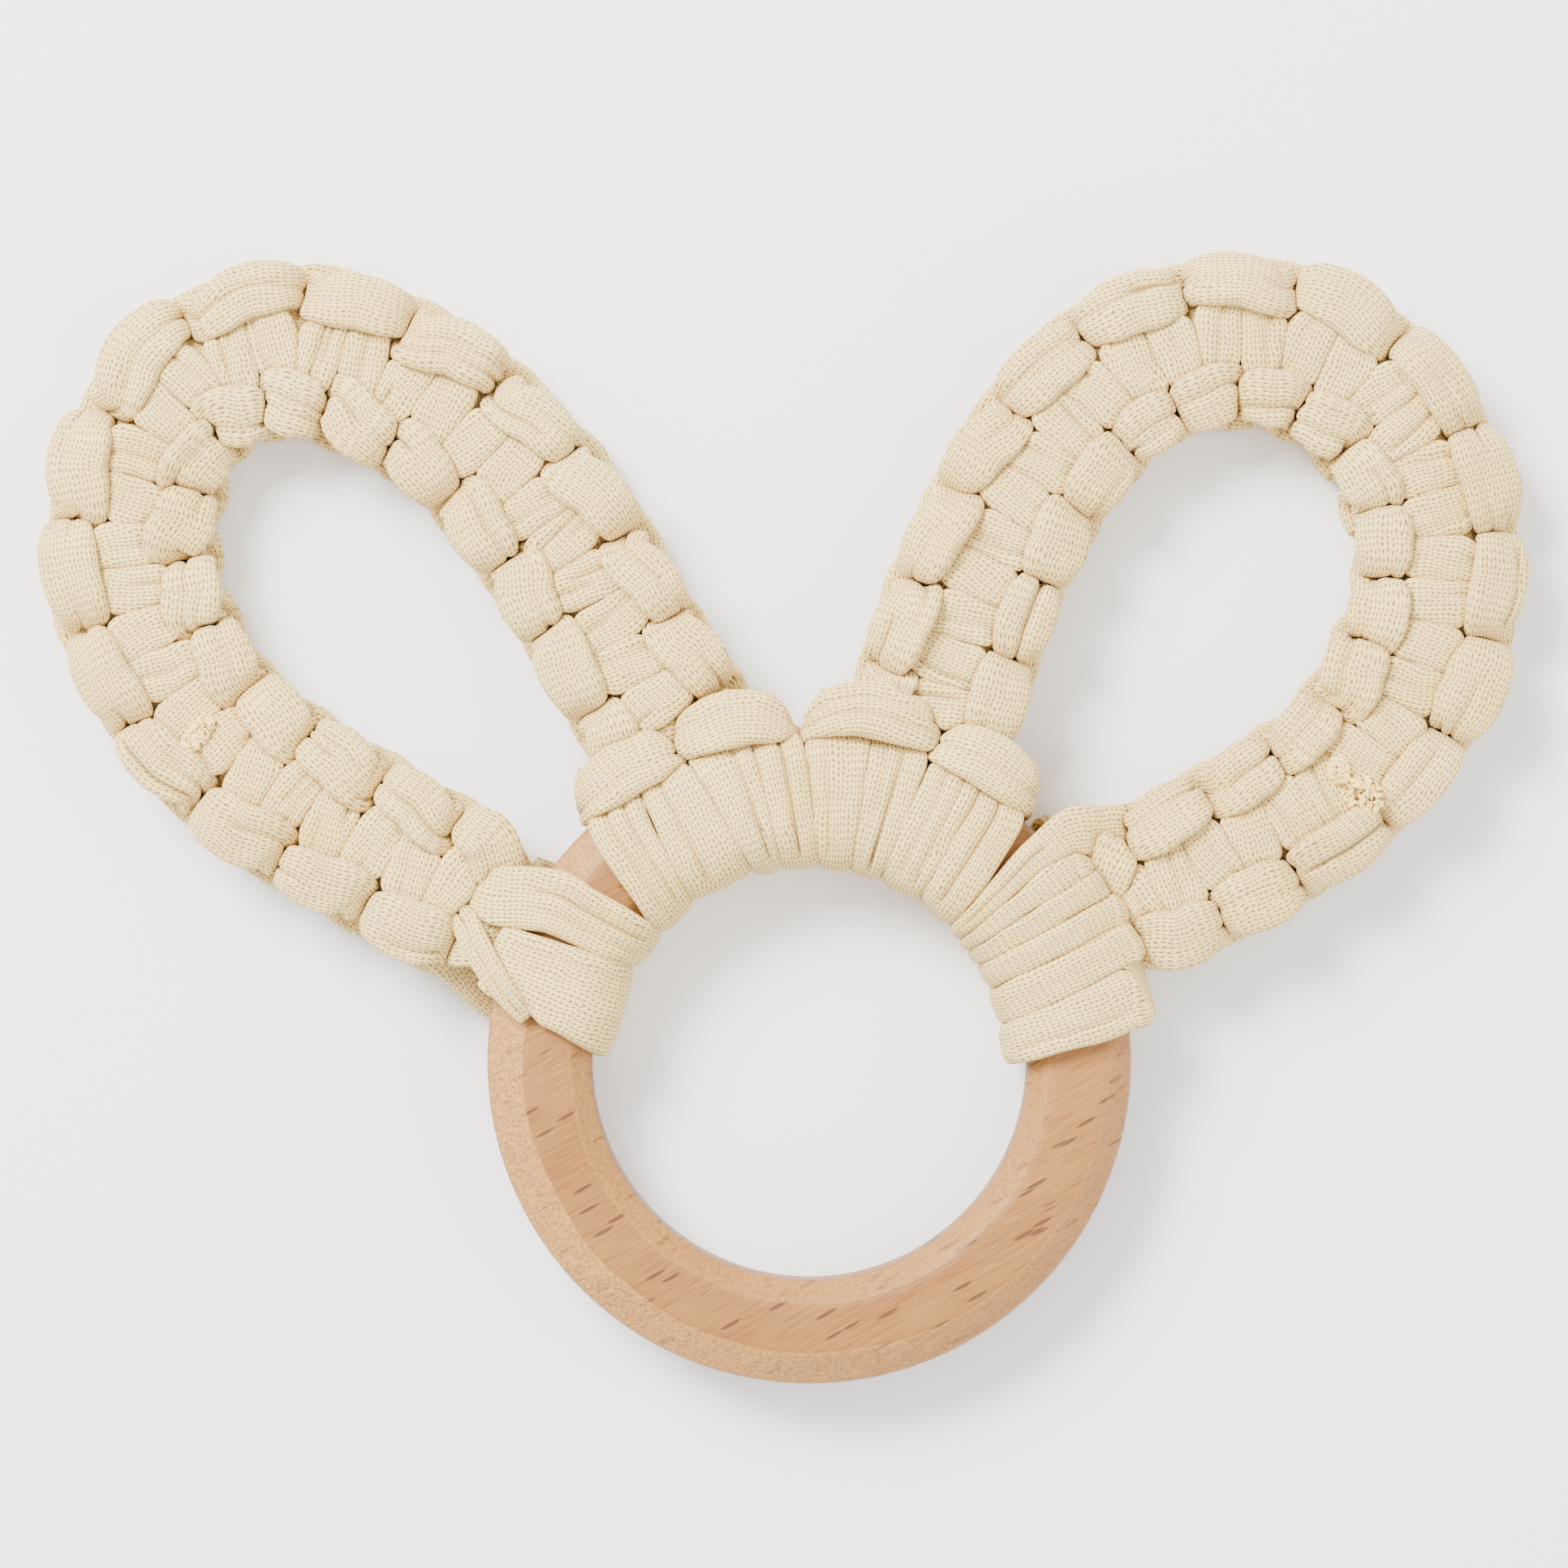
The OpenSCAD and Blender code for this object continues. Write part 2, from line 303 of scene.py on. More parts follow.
def meet_half_way(strands, own, foot, lean, free):
    """How far strand own puffs out at each point: freely, or half-way to the core of a neighbour."""
    puff = free.copy()
    for low in np.arange(0, own.along[-1], STRETCH):
        tree = neighbour_tree(strands, own, low, low + STRETCH)
        if tree is None:
            continue
        for i in np.nonzero((own.along >= low) & (own.along < low + STRETCH))[0]:
            for j in range(COLUMNS):
                r = puff[i, j]
                start, way = Vector(foot[i, j]), Vector(lean[i, j])
                for _ in range(5):
                    distance = tree.find_nearest(start + way * r, r)[3]
                    if distance is None or distance > r - 0.02:
                        break
                    r = max(MIN_PUFF, (r + distance) / 2)
                puff[i, j] = r
    return puff


def ripples(own):
    """Slow unevenness of a strand's surface, from -1 to 1, different for each length of strand."""
    circle = [(1.3 * math.cos(a), 1.3 * math.sin(a)) for a in SECTION]
    heights = own.along / 4.0 + own.along[-1]
    return np.array([[noise.noise(Vector((x, y, z))) for x, y in circle] for z in heights])


def fill_out(strands, own):
    """Puff strand own out among the others. Returns its points, and the painted crease shade of each: more
    where neighbours squash it and along its creases.
    """
    foot = own.centre[:, None] + (own.half[:, None] * FOOT)[..., None] * own.across[:, None]
    lean = LEAN[None, :, :1] * own.across[:, None] + LEAN[None, :, 1:] * own.facing[:, None]
    vertical = np.where(LEAN[None, :, 1] > 0, own.up[:, None], own.down[:, None])
    free = own.side[:, None] * LEAN[None, :, 0] ** 2 + vertical * LEAN[None, :, 1] ** 2
    puff = meet_half_way(strands, own, foot, lean, free)
    for _ in range(2):
        puff = (np.roll(puff, 1, 1) + 2 * puff + np.roll(puff, -1, 1)) / 4
        puff[1:-1] = (puff[:-2] + 2 * puff[1:-1] + puff[2:]) / 4
    # Painted shade where neighbours squash the yarn: the more it is squashed, the darker
    crease_shade = np.clip(1 - puff / np.maximum(free, 0.3), 0, 1)
    puff *= 1 + RIPPLE * ripples(own)
    top = LEAN[:, 1] > 0.2
    place = (FOOT * own.half[:, None] + LEAN[:, 0] * puff) / (own.half + own.side)[:, None]
    for where, depth, start, stop in own.creases:
        fade_in = smoothstep(own.along, start, start + CREASE_FADE)
        fade_out = 1 - smoothstep(own.along, stop - CREASE_FADE, stop)
        dent = depth * np.exp(-np.abs(place - where) / CREASE_WIDTH) * (fade_in * fade_out)[:, None] * top
        puff = np.maximum(MIN_PUFF, puff - dent)
        # A crease deepens the painted shade along it
        crease_shade = np.maximum(crease_shade, dent**1.5)
    return foot + lean * puff[..., None], crease_shade


def girths(points):
    """Distance round the yarn at each row of its points, evened out along it."""
    girth = np.linalg.norm(points - np.roll(points, 1, 1), axis=2).sum(1)
    window = max(3, int(5 / SPACING))
    padded = np.pad(girth, window, mode="edge")
    return np.convolve(padded, np.ones(window) / window, "same")[window:-window]


def mesh_from_grid(name, points, along, crease_shade):
    """Closed tube from a grid of points. The UV map Yarn holds millimetres round and along the yarn."""
    count, columns = points.shape[:2]
    girth = girths(points)
    verts = [tuple(p) for p in (points * MM).reshape(-1, 3)]
    faces, uvs = [], []
    for i in range(count - 1):
        for j in range(columns):
            k = (j + 1) % columns
            a, b = i * columns, (i + 1) * columns
            faces.append((a + j, a + k, b + k, b + j))
            u0, u1 = ROUND[j] - 0.5, ROUND[j + 1] - 0.5
            uvs += [(u0 * girth[i], along[i]), (u1 * girth[i], along[i]),
                    (u1 * girth[i + 1], along[i + 1]), (u0 * girth[i + 1], along[i + 1])]
    for i, order in ((0, range(columns - 1, -1, -1)), (count - 1, range(columns))):
        centre = len(verts)
        verts.append(tuple(points[i].mean(0) * MM))
        ring = list(order)
        for j, k in zip(ring, ring[1:] + ring[:1]):
            faces.append((centre, i * columns + j, i * columns + k))
            uvs += [(0.0, along[i]), (ROUND[j] * CAP_GIRTH, along[i]), (ROUND[k] * CAP_GIRTH, along[i])]
    mesh = smooth_mesh(name, verts, faces)
    mesh.uv_layers.new(name="Yarn").data.foreach_set("uv", np.array(uvs, np.float32).ravel())
    # Each point keeps its painted crease shade for the material; the middles of the caps get half
    cap_middles = [0.5, 0.5]
    mark_points(mesh, "crease_shade", np.append(crease_shade.ravel(), cap_middles))
    return mesh


# ---------------------------------------------------------------- ears


class Ear:
    """The middle line of an ear, and places on its knotted strip."""

    def __init__(self, name):
        facts = EARS[name]
        self.name = name
        self.side = facts["side"]
        self.first = facts["first"]
        self.pitch = facts["pitch"]
        self.slant = facts["slant"]
        self.length = sum(arc[0] for arc in facts["route"])
        step = 0.05
        x, y, heading = facts["start"]
        poses = [(x, y, heading)]
        for length, turn in facts["route"]:
            for _ in range(round(length / step)):
                heading += turn * step / length
                x += step * math.cos(math.radians(heading))
                y += step * math.sin(math.radians(heading))
                poses.append((x, y, heading))
        self.poses = np.array(poses)
        self.stations = np.arange(len(poses)) * step
        flop = next(j for j in frame["joints"] if j["name"] == f"{name}_ear_flop")
        self.foot = np.array(flop["pos_m"]) / MM
        self.axis = unit(self.foot)

    def at(self, s):
        """Middle of the strip and its outward direction at distances s along it."""
        s = np.asarray(s, float)
        x, y, heading = (np.interp(s, self.stations, self.poses[:, i]) for i in range(3))
        past = s - np.clip(s, 0, self.stations[-1])
        h = np.radians(heading)
        forward = np.stack([np.cos(h), np.sin(h), 0 * h], -1)
        centre = np.stack([x, y, 0 * x], -1) + past[..., None] * forward
        outward = self.side * np.stack([np.sin(h), -np.cos(h), 0 * h], -1)
        return centre, outward

    def hang(self, points):
        """Bend points down past the ear's foot."""
        flat = points - self.foot
        beyond = flat @ self.axis
        angle = np.radians(DROOP) * smoothstep(beyond, -BEND_HALF, BEND_HALF)
        moved = points.copy()
        moved += (beyond * (np.cos(angle) - 1) + points[..., 2] * np.sin(angle))[..., None] * self.axis
        moved[..., 2] = points[..., 2] * np.cos(angle) - beyond * np.sin(angle)
        return moved


# Half of a square knot, from the middle of a bump on one edge to the middle of the next on the other edge.
# Each row has the place along the strip in knots, across it and up, the way the yarn faces (along, across,
# up), half the width of its flat core, and how far it may puff up, sideways and down
HALF_KNOT = (
    (0.00, 6.3, 3.9, 0.0, 0.30, 1.0, 2.2, 1.20, 1.15, 0.9),
    (0.22, 6.3, 3.8, 0.1, 0.30, 1.0, 2.1, 1.20, 1.15, 0.9),
    (0.36, 6.4, 2.9, 0.7, 0.25, 0.7, 1.6, 1.15, 1.20, 0.9),
    (0.43, 6.5, 0.9, 1.0, 0.20, 0.1, 1.2, 1.10, 1.30, 0.9),
    (0.42, 6.3, -1.2, 0.8, 0.50, -0.5, 0.7, 1.10, 1.20, 0.9),
    (0.37, 5.2, -2.6, 0.2, 0.50, -0.9, 0.8, 1.10, 1.20, 0.9),
    (0.30, 2.8, -3.05, 0.0, 0.10, -1.0, 1.35, 1.20, 1.50, 1.0),
    (0.25, 0.0, -3.1, 0.0, 0.0, -1.0, 1.5, 1.25, 1.50, 1.0),
    (0.20, -2.8, -3.05, 0.0, -0.10, -1.0, 1.35, 1.20, 1.50, 1.0),
    (0.13, -5.2, -2.6, -0.2, -0.50, -0.9, 0.8, 1.10, 1.20, 0.9),
    (0.08, -6.3, -1.2, -0.8, -0.50, -0.5, 0.7, 1.10, 1.20, 0.9),
    (0.07, -6.5, 0.9, -1.0, -0.20, 0.1, 1.2, 1.10, 1.30, 0.9),
    (0.14, -6.4, 2.9, -0.7, -0.25, 0.7, 1.6, 1.15, 1.20, 0.9),
    (0.28, -6.3, 3.8, -0.1, -0.30, 1.0, 2.1, 1.20, 1.15, 0.9),
)

# How much the bumps differ: place along the strip in knots, width, slant in mm per knot, roll and height.
# A bump that would lean outwards does so by only a share of that
KNOT_SPREAD = np.array([0.02, 0.07, 1.2, 0.12, 0.1])
OUTWARD_SHARE = 0.25


def knot_rows(ear, face, draw):
    """Rows like those of HALF_KNOT, all in mm, for a whole ear: half knots that differ a little."""
    half_knots = int(2 * (ear.length - ear.first) / ear.pitch) + 3
    spread = {number: draw.normal(0, 1, 5) for number in range(-2, half_knots + 1)}
    keys = []
    for number in range(-2, half_knots):
        edge = face if number % 2 == 0 else -face
        for along, w, z, f_s, f_w, f_z, half, up, side, down in HALF_KNOT:
            nearer = number + (w < 0)
            shift, grow, slant, roll, lift = spread[nearer] * KNOT_SPREAD
            from_bump = along - (nearer - number) / 2
            on_bump = smoothstep(z, 0, 3)
            s = ear.first + ear.pitch * (number / 2 + along + shift)
            lean = (ear.slant + slant) * from_bump * on_bump
            w += np.sign(w) * min(lean, OUTWARD_SHARE * lean)
            z += lift * on_bump
            f_w += np.sign(w) * roll * on_bump
            half *= 1 + grow * on_bump
            keys.append([s, edge * w, face * z, f_s, edge * f_w, face * f_z, half, up, side, down])
    rows = spline(keys, 8)
    return rows[(rows[:, 0] > 2.0) & (rows[:, 0] < ear.length + 1)]


def random_creases(draw, length):
    """Creases here and there along a strand of that length."""
    creases = []
    for stretch in np.arange(2, length - 8, 6.0):
        if draw.random() < 0.6:
            start = stretch + draw.uniform(0, 4)
            place = draw.uniform(-0.55, 0.55)
            depth = draw.uniform(0.4, 0.8)
            creases.append((place, depth, start, start + draw.uniform(8, 16)))
    return creases


def knotting_strand(ear, face, seed):
    """One of an ear's two knotting cords.

    face is 1 for the one with its bumps on the front and its bars on the back, and -1 for the other. At both
    ends of the ear the strip gets thinner (root) and narrower (gather).
    """
    draw = np.random.default_rng(seed)
    rows = knot_rows(ear, face, draw)
    from_start, to_end = rows[:, 0], ear.length - rows[:, 0]
    root = mix(0.6, 1.0, smoothstep(from_start, 2, 8) * smoothstep(to_end, 0, 6))
    gather = mix(0.75, 1.0, smoothstep(from_start, 2, 6)) * mix(0.35, 1.0, smoothstep(to_end, -1, 6))
    centre, outward = ear.at(rows[:, 0])
    ahead = np.cross(outward, [0, 0, 1.0]) * -ear.side
    path = centre + (rows[:, 1] * gather)[:, None] * outward
    path[:, 2] += rows[:, 2] * root
    facing = rows[:, 3:4] * ahead + rows[:, 4:5] * outward
    facing[:, 2] += rows[:, 5]
    return Strand(path, facing, *rows[:, 6:].T, creases=random_creases(draw, distances(path)[-1]))


def filler_strand(ear, place):
    """One of the two cords inside an ear: place is 1 for the outer one and -1 for the inner one."""
    s = np.arange(1.5, ear.length - 2, 0.5)
    centre, outward = ear.at(s)
    path = centre + place * 2.2 * outward
    facing = np.tile([0.0, 0.0, 1.0], (len(s), 1))
    return Strand(path, facing, half=1.0, up=2.0, side=1.3, down=2.0)


# ---------------------------------------------------------------- yarn on the ring

# How far the middle of the yarn is from the wood, at the rim and in the narrower hole, and how far the yarn
# puffs out past its flat core on each side
RIM_OFFSET = 0.9
HOLE_OFFSET = 1.45
SIDE_PUFF = 0.9


def bar_loop(turn, offset):
    """r, z and outward direction at an angle round the bar: 0 is the rim, 90 the front and 180 the hole."""
    a, b = BAR_W / 2 + offset, HALF_T + offset
    c, s = np.cos(np.radians(turn)), np.sin(np.radians(turn))
    x, z = signed_power(c, 2 / 3), signed_power(s, 2 / 3)
    n = unit(np.stack([signed_power(x, 2) / a, signed_power(z, 2) / b], -1))
    return BAR_R + a * x, b * z, n


def ring_strand(keys):
    """Strand from rows of r, angle, z, the way it faces (out, round, up), half, up, side and down."""
    rows = spline(keys, 14)
    r, angle, z = rows[:, 0], rows[:, 1], rows[:, 2]
    a = np.radians(angle)
    out = np.stack([np.cos(a), np.sin(a), 0 * a], -1)
    round_ = np.stack([-np.sin(a), np.cos(a), 0 * a], -1)
    facing = rows[:, 3:4] * out + rows[:, 4:5] * round_
    facing[:, 2] += rows[:, 5]
    return Strand(polar(r, angle, z), unit(facing), *rows[:, 6:].T)


def halves(edges, i, radius):
    """Middle angle of turn i between its two edges, and half its width at a radius."""
    middle = (edges[i] + edges[i + 1]) / 2
    return middle, math.radians(edges[i] - edges[i + 1]) / 2 * radius


def face_keys(turns, rim_angle, hole_angle, rim_half, hole_half):
    """Rows for a strand that lies on the bar, at angles round the bar."""
    keys = []
    for turn in turns:
        to_hole = (1 - math.cos(math.radians(turn))) / 2
        r, z, n = bar_loop(turn, mix(RIM_OFFSET, HOLE_OFFSET, to_hole))
        half = max(0.3, mix(rim_half, hole_half, to_hole) - SIDE_PUFF)
        up, down = mix(0.95, 1.35, to_hole), mix(0.75, 1.2, to_hole)
        keys.append([r, mix(rim_angle, hole_angle, to_hole), z, n[0], 0, n[1], half, up, 1.2, down])
    return keys


def hitch_half(middle, rim, hole, rim_edge, rim_half, hole_half, bight_r, drop):
    """Rows from the middle of the folded end, round the bar, to the tail. Angles are round the ring."""
    way = 1 if rim_edge > middle else -1
    reach = rim_edge - middle
    keys = [
        [bight_r, middle, 5.4, 0.4, 0, 0.92, 2.1, 1.25, 1.3, 0.8],
        [bight_r - 0.2 * drop, middle + 0.45 * reach, 5.2, 0.4, way * 0.12, 0.9,
         2.1 - 0.1 * drop, 1.2, 1.2, 0.8],
        [bight_r - 0.65 * drop, middle + 0.8 * reach, 3.9, 0.45, way * 0.6, 0.65,
         1.7 - 0.2 * drop, 1.1, 1.1, 0.8],
        [bight_r - 0.3 - drop, rim_edge - way * 1.2, 1.0, 0.6, way * 0.8, 0.1,
         1.2 - 0.1 * drop, 1.0, 1.1, 0.8],
        [RIM_R + 1.4, mix(rim, rim_edge, 0.45), -2.0, 0.95, way * 0.3, -0.3, 1.5, 1.0, 1.2, 0.8],
    ]
    under_and_over = (-52, -72, -90, -110, -135, -158, -180, -202, -225, -250, -270, -288, -305)
    keys += face_keys(under_and_over, rim, hole, rim_half, hole_half)
    keys += [
        [RIM_R + 1.2, mix(rim, middle, 0.1), 2.9, 0.5, 0, 0.85, rim_half - 1.2, 1.0, 1.2, 0.8],
        [RIM_R + 4.5, mix(rim, middle, 0.35), 1.6, 0.2, 0, 0.97, rim_half - 1.4, 1.1, 1.1, 0.8],
    ]
    return keys


def hitch_strand(middle, bight_r, drops, rim_edges, hole_edges):
    """Lark's head hitch. Its edges are the angles, in order, that bound its two turns at rim and hole.

    middle and bight_r place the folded part, and drops is how far its two ends slide towards the ring.
    """
    rows = []
    for i, edge in ((0, rim_edges[0]), (1, rim_edges[2])):
        rim, rim_half = halves(rim_edges, i, RIM_R - 1)
        hole, hole_half = halves(hole_edges, i, HOLE_R - 1.5)
        rows.append(hitch_half(middle, rim, hole, edge, rim_half, hole_half, bight_r, drops[i]))
    return ring_strand(rows[0][:0:-1] + rows[1])


def coil_strand(rim_edges, hole_edges, rim_lift, lead_in=(), lead_out=()):
    """Yarn wrapped round the bar. Its edges bound the turns, and rim_lift is how far each is off the rim.

    lead_in and lead_out are rows of r, angle, z and half: the way in from the ear, and the way back.
    """
    keys = [[r, angle, z, 0.1, 0, 1, half, 1.0, 1.1, 0.8] for r, angle, z, half in lead_in]
    turns = len(rim_edges) - 1
    for i in range(turns):
        rim, rim_half = halves(rim_edges, i, RIM_R - 0.5)
        hole, hole_half = halves(hole_edges, i, HOLE_R - 1.5)
        around = [35, 52, 70, 90, 110, 135, 158, 180, 202, 225, 250, 270, 290, 308, 325]
        if lead_in and i == 0:
            around = around[2:]
        if lead_out and i == turns - 1:
            around = around[:-4]
        for row in face_keys(around, rim, hole, rim_half, hole_half):
            row[0] += rim_lift[i] * smoothstep(row[0], BAR_R + 2, RIM_R)
            keys.append(row)
    keys += [[r, angle, z, 0.1, 0, -1, half, 1.0, 1.1, 0.8] for r, angle, z, half in lead_out]
    return ring_strand(keys)


# The twisted end of the left ear's yarn, folded over the rim: rows as ring_strand takes them
FOLDED_END = (
    (43.0, 156.2, 1.0, 0.0, 0.0, 1.0, 0.6, 0.8, 0.7, 0.7),
    (40.8, 157.4, 3.4, 0.2, 0.0, 1.0, 0.8, 0.9, 0.8, 0.7),
    (38.4, 160.4, 5.0, 0.5, 0.1, 0.9, 0.9, 0.9, 0.8, 0.8),
    (35.6, 164.2, 6.1, 0.4, 0.3, 0.9, 0.8, 0.9, 0.8, 0.8),
    (33.2, 167.8, 6.4, 0.2, 0.4, 0.9, 0.6, 0.7, 0.7, 0.8),
    (31.0, 171.0, 5.8, 0.2, 0.2, 1.0, 0.4, 0.4, 0.5, 0.6),
)


# ---------------------------------------------------------------- trimmed ends

CURLS = 150
END_Z = 4.1

# Each cut end: ear, number, place along and across the strip, half its length and width, and its heading
TRIMMED_ENDS = (
    ("left", 1, 119.0, 1.0, 2.2, 1.1, 55),
    ("right", 1, 124.8, -0.7, 1.4, 1.1, 100),
    ("right", 2, 124.8, 3.2, 2.4, 1.9, 140),
)


def curl(draw, middle, radius, thickness):
    """Points and faces of one short hook of frayed yarn."""
    rows, sides = 9, 6
    axis = unit(draw.normal(0, 1, 3) + [0, 0, 0.3])
    start = unit(np.cross(axis, draw.normal(0, 1, 3)))
    side = np.cross(axis, start)
    sweep = np.linspace(0, draw.uniform(2.2, 4.2), rows)
    path = middle + radius * (np.cos(sweep)[:, None] * start + np.sin(sweep)[:, None] * side)
    out = unit(path - middle)
    thick = thickness * np.sin(np.linspace(0.5, math.pi - 0.5, rows))
    q = np.linspace(0, 2 * math.pi, sides, endpoint=False)
    ring = np.cos(q)[None, :, None] * out[:, None] + np.sin(q)[None, :, None] * axis
    points = path[:, None] + thick[:, None, None] * ring
    faces = []
    for i in range(rows - 1):
        for j in range(sides):
            k = (j + 1) % sides
            faces.append((i * sides + j, i * sides + k, (i + 1) * sides + k, (i + 1) * sides + j))
    faces += [tuple(range(sides - 1, -1, -1)), tuple((rows - 1) * sides + j for j in range(sides))]
    return points.reshape(-1, 3), faces


def trimmed_end(ear, number, s, w, long, wide, turn):
    """A crumbly cut end of yarn, glued down between two bars of the strip: a low heap of curls."""
    draw = np.random.default_rng(40 + number)
    centre, outward = ear.at(s)
    place = centre + w * outward + [0, 0, END_Z]
    heading = np.radians(turn)
    forward = np.array([np.cos(heading), np.sin(heading), 0])
    beside = np.array([-np.sin(heading), np.cos(heading), 0])
    verts, faces = [], []
    for _ in range(CURLS):
        a, b = draw.uniform(0, 2 * math.pi), math.sqrt(draw.random())
        x, y = long * b * math.cos(a), wide * b * math.sin(a)
        lift = 0.9 * math.sqrt(1 - 0.8 * b * b) + draw.normal(0, 0.12)
        middle = place + x * forward + y * beside + np.array([0, 0, lift])
        points, patch = curl(draw, middle, draw.uniform(0.18, 0.42), draw.uniform(0.12, 0.2))
        faces += [tuple(len(verts) + v for v in face) for face in patch]
        verts += [tuple(v) for v in ear.hang(points) * MM]
    name = f"{ear.name}_trimmed_end_{number}"
    piece = as_object(name, smooth_mesh(name, verts, faces), FRAYED)
    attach(piece, f"{ear.name}_ear")
    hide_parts(f"{ear.name}_cut_end")


# ---------------------------------------------------------------- materials


class Nodes:
    """Short calls for building a material's nodes."""

    def __init__(self, name):
        self.material = bpy.data.materials.new(name)
        self.material.use_nodes = True
        self.tree = self.material.node_tree
        self.shader = self.tree.nodes["Principled BSDF"]

    def put(self, socket, value):
        if isinstance(value, bpy.types.NodeSocket):
            self.tree.links.new(value, socket)
        elif value is not None:
            socket.default_value = value

    def math(self, operation, a, b=None):
        node = self.tree.nodes.new("ShaderNodeMath")
        node.operation = operation
        self.put(node.inputs[0], a)
        self.put(node.inputs[1], b)
        return node.outputs[0]

    def node(self, kind, output=0, **inputs):
        node = self.tree.nodes.new(kind)
        for key, value in inputs.items():
            self.put(node.inputs[key.replace("_", " ")], value)
        return node.outputs[output]

    def attribute(self, name):
        node = self.tree.nodes.new("ShaderNodeAttribute")
        node.attribute_name = name
        return node.outputs["Fac"]

    def ramp(self, factor, stops):
        node = self.tree.nodes.new("ShaderNodeValToRGB")
        self.put(node.inputs[0], factor)
        elements = node.color_ramp.elements
        while len(elements) < len(stops):
            elements.new(0.5)
        for element, (place, colour) in zip(elements, stops):
            element.position = place
            element.color = (*colour, 1)
        return node.outputs[0]

    def blend(self, factor, a, b, mode="MIX"):
        node = self.tree.nodes.new("ShaderNodeMix")
        node.data_type = "RGBA"
        node.blend_type = mode
        self.put(node.inputs[0], factor)
        self.put(node.inputs[6], a)
        self.put(node.inputs[7], b)
        return node.outputs[2]


def yarn_material():
    """Plain-knit cotton jersey: columns of V stitches along the yarn, with painted shade in a small dark spot
    at each stitch, in the low parts of the stitches, and where the yarn is squashed or creased.
    """
    n = Nodes("cotton_jersey")
    uv = n.tree.nodes.new("ShaderNodeUVMap")
    uv.uv_map = "Yarn"
    split = n.tree.nodes.new("ShaderNodeSeparateXYZ")
    n.tree.links.new(uv.outputs[0], split.inputs[0])
    place = n.node("ShaderNodeTexCoord", "Object")
    drift = n.node("ShaderNodeTexNoise", Vector=place, Scale=300.0, Detail=2.0)
    sway = n.math("MULTIPLY", n.math("SUBTRACT", drift, 0.5), 1.3)
    column = n.math("ADD", n.math("MULTIPLY", split.outputs[0], 1 / STITCH_WIDE), sway)
    row = n.math("ADD", n.math("MULTIPLY", split.outputs[1], 1 / STITCH_LONG), sway)
    from_middle = n.math("ABSOLUTE", n.math("SUBTRACT", n.math("FRACT", column), 0.5))
    slanted = n.math("SUBTRACT", row, n.math("MULTIPLY", from_middle, 3.0))
    leg = n.math("SINE", n.math("MULTIPLY", n.math("FRACT", slanted), math.pi))
    ridge = n.math("SINE", n.math("MULTIPLY", from_middle, math.pi * 2))
    rounded = n.math("POWER", ridge, 0.7)
    stitch = n.math("ADD", n.math("MULTIPLY", leg, 0.45), n.math("MULTIPLY", rounded, 0.55))
    fuzz = n.node("ShaderNodeTexNoise", Vector=place, Scale=4200.0, Detail=3.0)
    height = n.math("ADD", stitch, n.math("MULTIPLY", fuzz, 0.35))
    # Painted shade in the small hole at each stitch, where leg and ridge are both low
    gap_shade = n.math("MULTIPLY", n.math("SUBTRACT", 1.0, leg), n.math("SUBTRACT", 1.0, ridge))
    gap_shade = n.math("MINIMUM", n.math("MULTIPLY", gap_shade, 1.9), 1.0)
    patch = n.node("ShaderNodeTexNoise", Vector=place, Scale=90.0, Detail=3.0)
    base = n.ramp(patch, [(0.3, YARN_DULL), (0.7, YARN_CLEAN)])
    # Painted shade: the low parts of each stitch are multiplied with YARN_SHADE
    stitch_shade = n.ramp(stitch, [(0.2, YARN_SHADE), (0.65, WHITE)])
    knit = n.blend(0.8, base, stitch_shade, "MULTIPLY")
    dotted = n.blend(n.math("MULTIPLY", gap_shade, 0.9), knit, (*YARN_GAP_SHADE, 1))
    # Painted shade, warm dark brown, where the yarn is squashed or creased
    crease_shade_mask = n.ramp(n.attribute("crease_shade"), [(0.08, BLACK), (0.6, (0.95, 0.95, 0.95))])
    crease_shaded = n.blend(crease_shade_mask, dotted, (*YARN_CREASE_SHADE, 1))
    n.put(n.shader.inputs["Base Color"], crease_shaded)
    n.put(n.shader.inputs["Roughness"], 0.9)
    n.put(n.shader.inputs["Sheen Weight"], 0.15)
    n.put(n.shader.inputs["Sheen Roughness"], 0.5)
    n.put(n.shader.inputs["Specular IOR Level"], 0.2)
    bump = n.node("ShaderNodeBump", Strength=0.8, Distance=0.00025, Height=height)
    n.put(n.shader.inputs["Normal"], bump)
    return n.material


def frayed_material():
    """The cut ends of the jersey: loose cotton, paler than the rest."""
    n = Nodes("frayed_cotton")
    place = n.node("ShaderNodeTexCoord", "Object")
    patch = n.node("ShaderNodeTexNoise", Vector=place, Scale=900.0, Detail=3.0)
    n.put(n.shader.inputs["Base Color"], n.ramp(patch, [(0.35, YARN_DULL), (0.6, YARN_CLEAN)]))
    n.put(n.shader.inputs["Roughness"], 0.95)
    n.put(n.shader.inputs["Specular IOR Level"], 0.2)
    bump = n.node("ShaderNodeBump", Strength=0.6, Distance=0.0001, Height=patch)
    n.put(n.shader.inputs["Normal"], bump)
    return n.material


